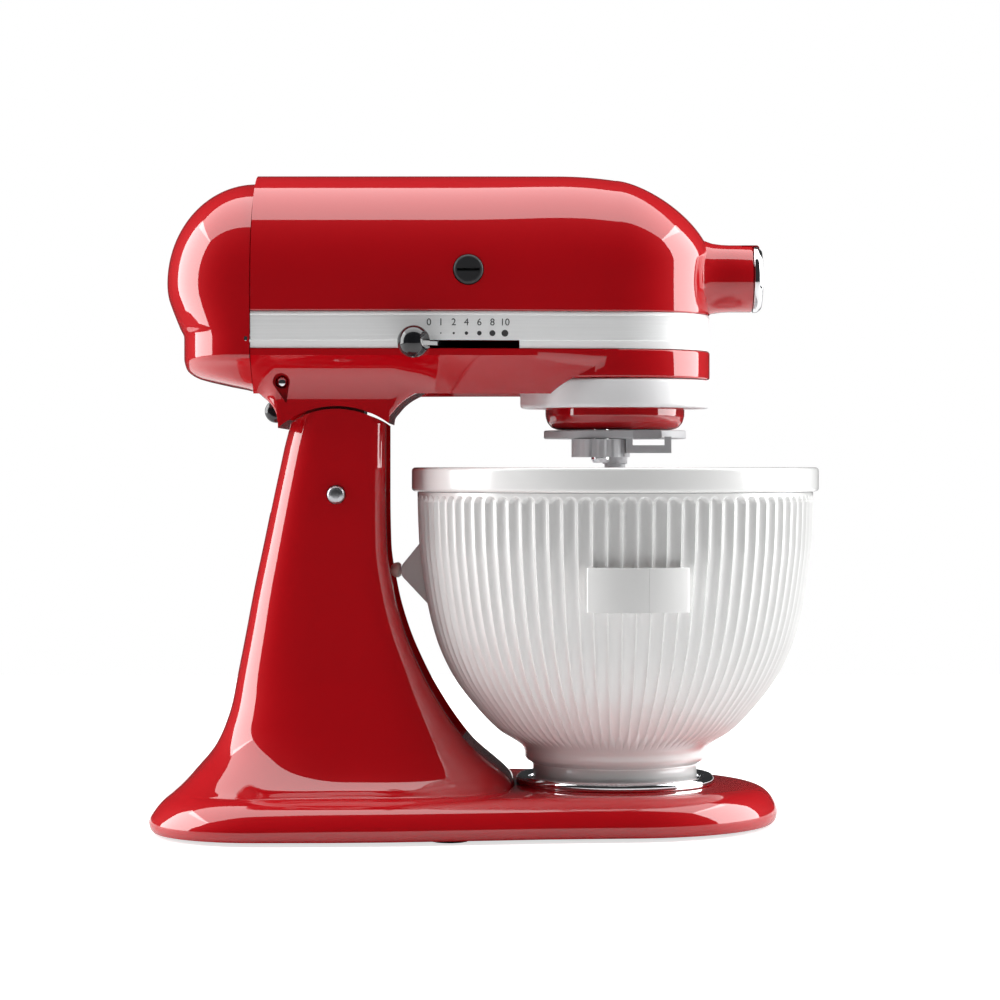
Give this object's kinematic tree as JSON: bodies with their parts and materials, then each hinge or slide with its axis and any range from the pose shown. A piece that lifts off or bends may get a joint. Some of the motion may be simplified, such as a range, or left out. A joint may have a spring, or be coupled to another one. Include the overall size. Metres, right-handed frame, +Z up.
{
  "type": "ice cream maker",
  "caption": "Tilt-head stand mixer that turns a dasher in a fluted double-wall frozen bowl clamped on its base.",
  "frame": {"origin": "on the ground under the middle of the object's box", "axes": "+X from the column towards the bowl and the head's nose, +Z up, +Y away from the side with the speed lever"},
  "size_m": [0.36, 0.238, 0.3534],
  "materials": {
    "red_paint": "high-gloss red enamel",
    "rubber": "matt black rubber",
    "chrome": "polished",
    "steel": "machined",
    "aluminium": "brushed",
    "black_plastic": "glossy black",
    "white_plastic": "satin off-white",
    "grey_plastic": "satin mid grey",
    "copper": "copper windings on steel laminations",
    "brass": "cut bronze gear",
    "carbon": "pressed carbon",
    "coolant": "sealed coolant filling",
    "board": "phenolic board"
  },
  "bodies": {
    "base": {"pedestal": "red_paint", "foot_1": "rubber", "foot_2": "rubber", "foot_3": "rubber", "foot_4": "rubber", "foot_5": "rubber", "clamp_plate": "chrome", "plate_screw_1": "steel", "plate_screw_2": "steel", "plate_screw_3": "steel", "hinge_pin": "steel"},
    "head": {"motor_housing": "red_paint", "trim_band": "aluminium", "lower_housing": "red_paint", "rear_cover": "red_paint", "drip_ring": "aluminium", "hub_cap_pin": "steel", "cover_screw": "steel", "field_coil": "copper", "bearing_bracket": "aluminium", "rear_bearing": "steel", "control_board": "board", "cord_inlet": "rubber", "brush_cap_left": "black_plastic", "brush_cap_right": "black_plastic", "brush_left": "carbon", "brush_right": "carbon", "centre_bearing": "steel", "ring_gear": "steel"},
    "armature": {"armature": "copper"},
    "worm_wheel": {"worm_wheel": "brass"},
    "planetary": {"centre_gear": "steel", "centre_shaft": "steel", "planetary": "red_paint", "drive_flange": "grey_plastic", "drive_drum": "grey_plastic", "drive_collar": "grey_plastic"},
    "beater": {"planet_pinion": "steel", "beater_shaft": "chrome"},
    "hub_drive": {"hub_drive": "steel"},
    "hub_cap": {"hub_cap": "chrome"},
    "hub_knob": {"hub_knob": "black_plastic"},
    "speed_lever": {"speed_arm": "steel", "speed_knob": "black_plastic"},
    "lock": {"lock_shaft": "chrome", "lock_lever": "black_plastic"},
    "bowl": {"freeze_bowl": "white_plastic", "bowl_gel": "coolant", "bowl_liner": "aluminium", "bowl_rim": "white_plastic", "rear_pin": "white_plastic"},
    "dasher": {"dasher": "white_plastic"}
  },
  "joints": [
    {"name": "head_tilt", "type": "hinge", "parent": "base", "child": "head", "pos_m": [-0.081, 0, 0.18], "axis": [0, -1, 0], "range_deg": [0, 50]},
    {"name": "planetary_spin", "type": "hinge", "parent": "head", "child": "planetary", "pos_m": [0.069, 0, 0.25], "axis": [0, 0, 1], "continuous": true},
    {"name": "beater_spin", "type": "hinge", "parent": "planetary", "child": "beater", "pos_m": [0.06041, -0.02454, 0.235], "axis": [0, 0, 1], "continuous": true},
    {"name": "worm_wheel_spin", "type": "hinge", "parent": "head", "child": "worm_wheel", "pos_m": [0.03, 0.02532, 0.28], "axis": [0, 0, 1], "continuous": true},
    {"name": "armature_spin", "type": "hinge", "parent": "head", "child": "armature", "pos_m": [0, 0, 0.299], "axis": [1, 0, 0], "continuous": true},
    {"name": "hub_drive_spin", "type": "hinge", "parent": "head", "child": "hub_drive", "pos_m": [0.1, 0, 0.2976], "axis": [1, 0, 0], "continuous": true},
    {"name": "dasher_spin", "type": "hinge", "parent": "base", "child": "dasher", "pos_m": [0.069, 0, 0.1], "axis": [0, 0, 1], "continuous": true},
    {"name": "bowl_twist", "type": "hinge", "parent": "base", "child": "bowl", "pos_m": [0.069, 0, 0.03], "axis": [0, 0, 1], "range_deg": [0, 25]},
    {"name": "hub_cap_flip", "type": "hinge", "parent": "head", "child": "hub_cap", "pos_m": [0.1459, 0, 0.3139], "axis": [0, -1, 0], "range_deg": [0, 100]},
    {"name": "hub_knob_turn", "type": "hinge", "parent": "head", "child": "hub_knob", "pos_m": [0.132, 0.028, 0.2976], "axis": [0, 1, 0], "continuous": true},
    {"name": "speed_lever_turn", "type": "hinge", "parent": "head", "child": "speed_lever", "pos_m": [-0.00725, 0, 0.2598], "axis": [0, 0, 1], "range_deg": [0, 33]},
    {"name": "lock_turn", "type": "hinge", "parent": "head", "child": "lock", "pos_m": [-0.11, 0, 0.24], "axis": [0, 1, 0], "range_deg": [0, 35]}
  ],
  "couplings": [
    {"joint": "beater_spin", "follows": "planetary_spin", "ratio": -2.8571},
    {"joint": "worm_wheel_spin", "follows": "planetary_spin", "ratio": -3.4286},
    {"joint": "armature_spin", "follows": "planetary_spin", "ratio": 17.143},
    {"joint": "hub_drive_spin", "follows": "planetary_spin", "ratio": 2.6667},
    {"joint": "dasher_spin", "follows": "planetary_spin", "ratio": 1}
  ]
}
